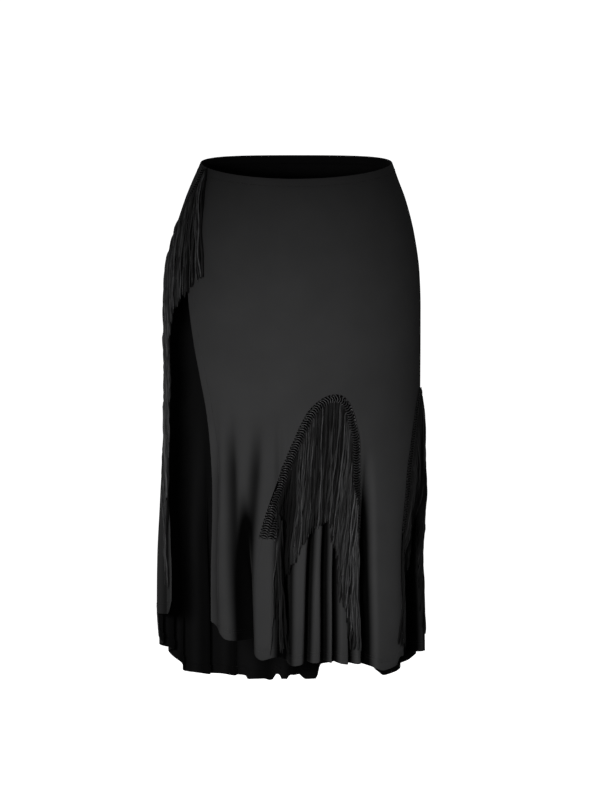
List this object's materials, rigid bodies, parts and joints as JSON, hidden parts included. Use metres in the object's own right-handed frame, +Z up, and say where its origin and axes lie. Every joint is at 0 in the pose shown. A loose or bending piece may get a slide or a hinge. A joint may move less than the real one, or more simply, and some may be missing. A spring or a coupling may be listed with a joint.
{
  "type": "dance skirt",
  "caption": "Worn hollow dance skirt, fitted at the hip and flared below, with a high side slit, leaning arches with godets under them, and braid with hanging fringe.",
  "frame": {"origin": "middle of the waist opening, at the height of the waist at its sides", "axes": "+Z up, the front of the skirt faces -Y, the side slit is towards -X"},
  "size_m": [0.3802, 0.3229, 0.7486],
  "materials": {
    "jersey": "matt black stretch jersey",
    "fringe": "black twisted cord fringe with a soft shine"
  },
  "bodies": {
    "root": {"front_panel": "jersey", "back_panel": "jersey", "front_godet": "jersey", "side_godet": "jersey", "front_arch_fringe": "fringe", "side_arch_fringe": "fringe", "slit_fringe": "fringe"}
  },
  "joints": []
}
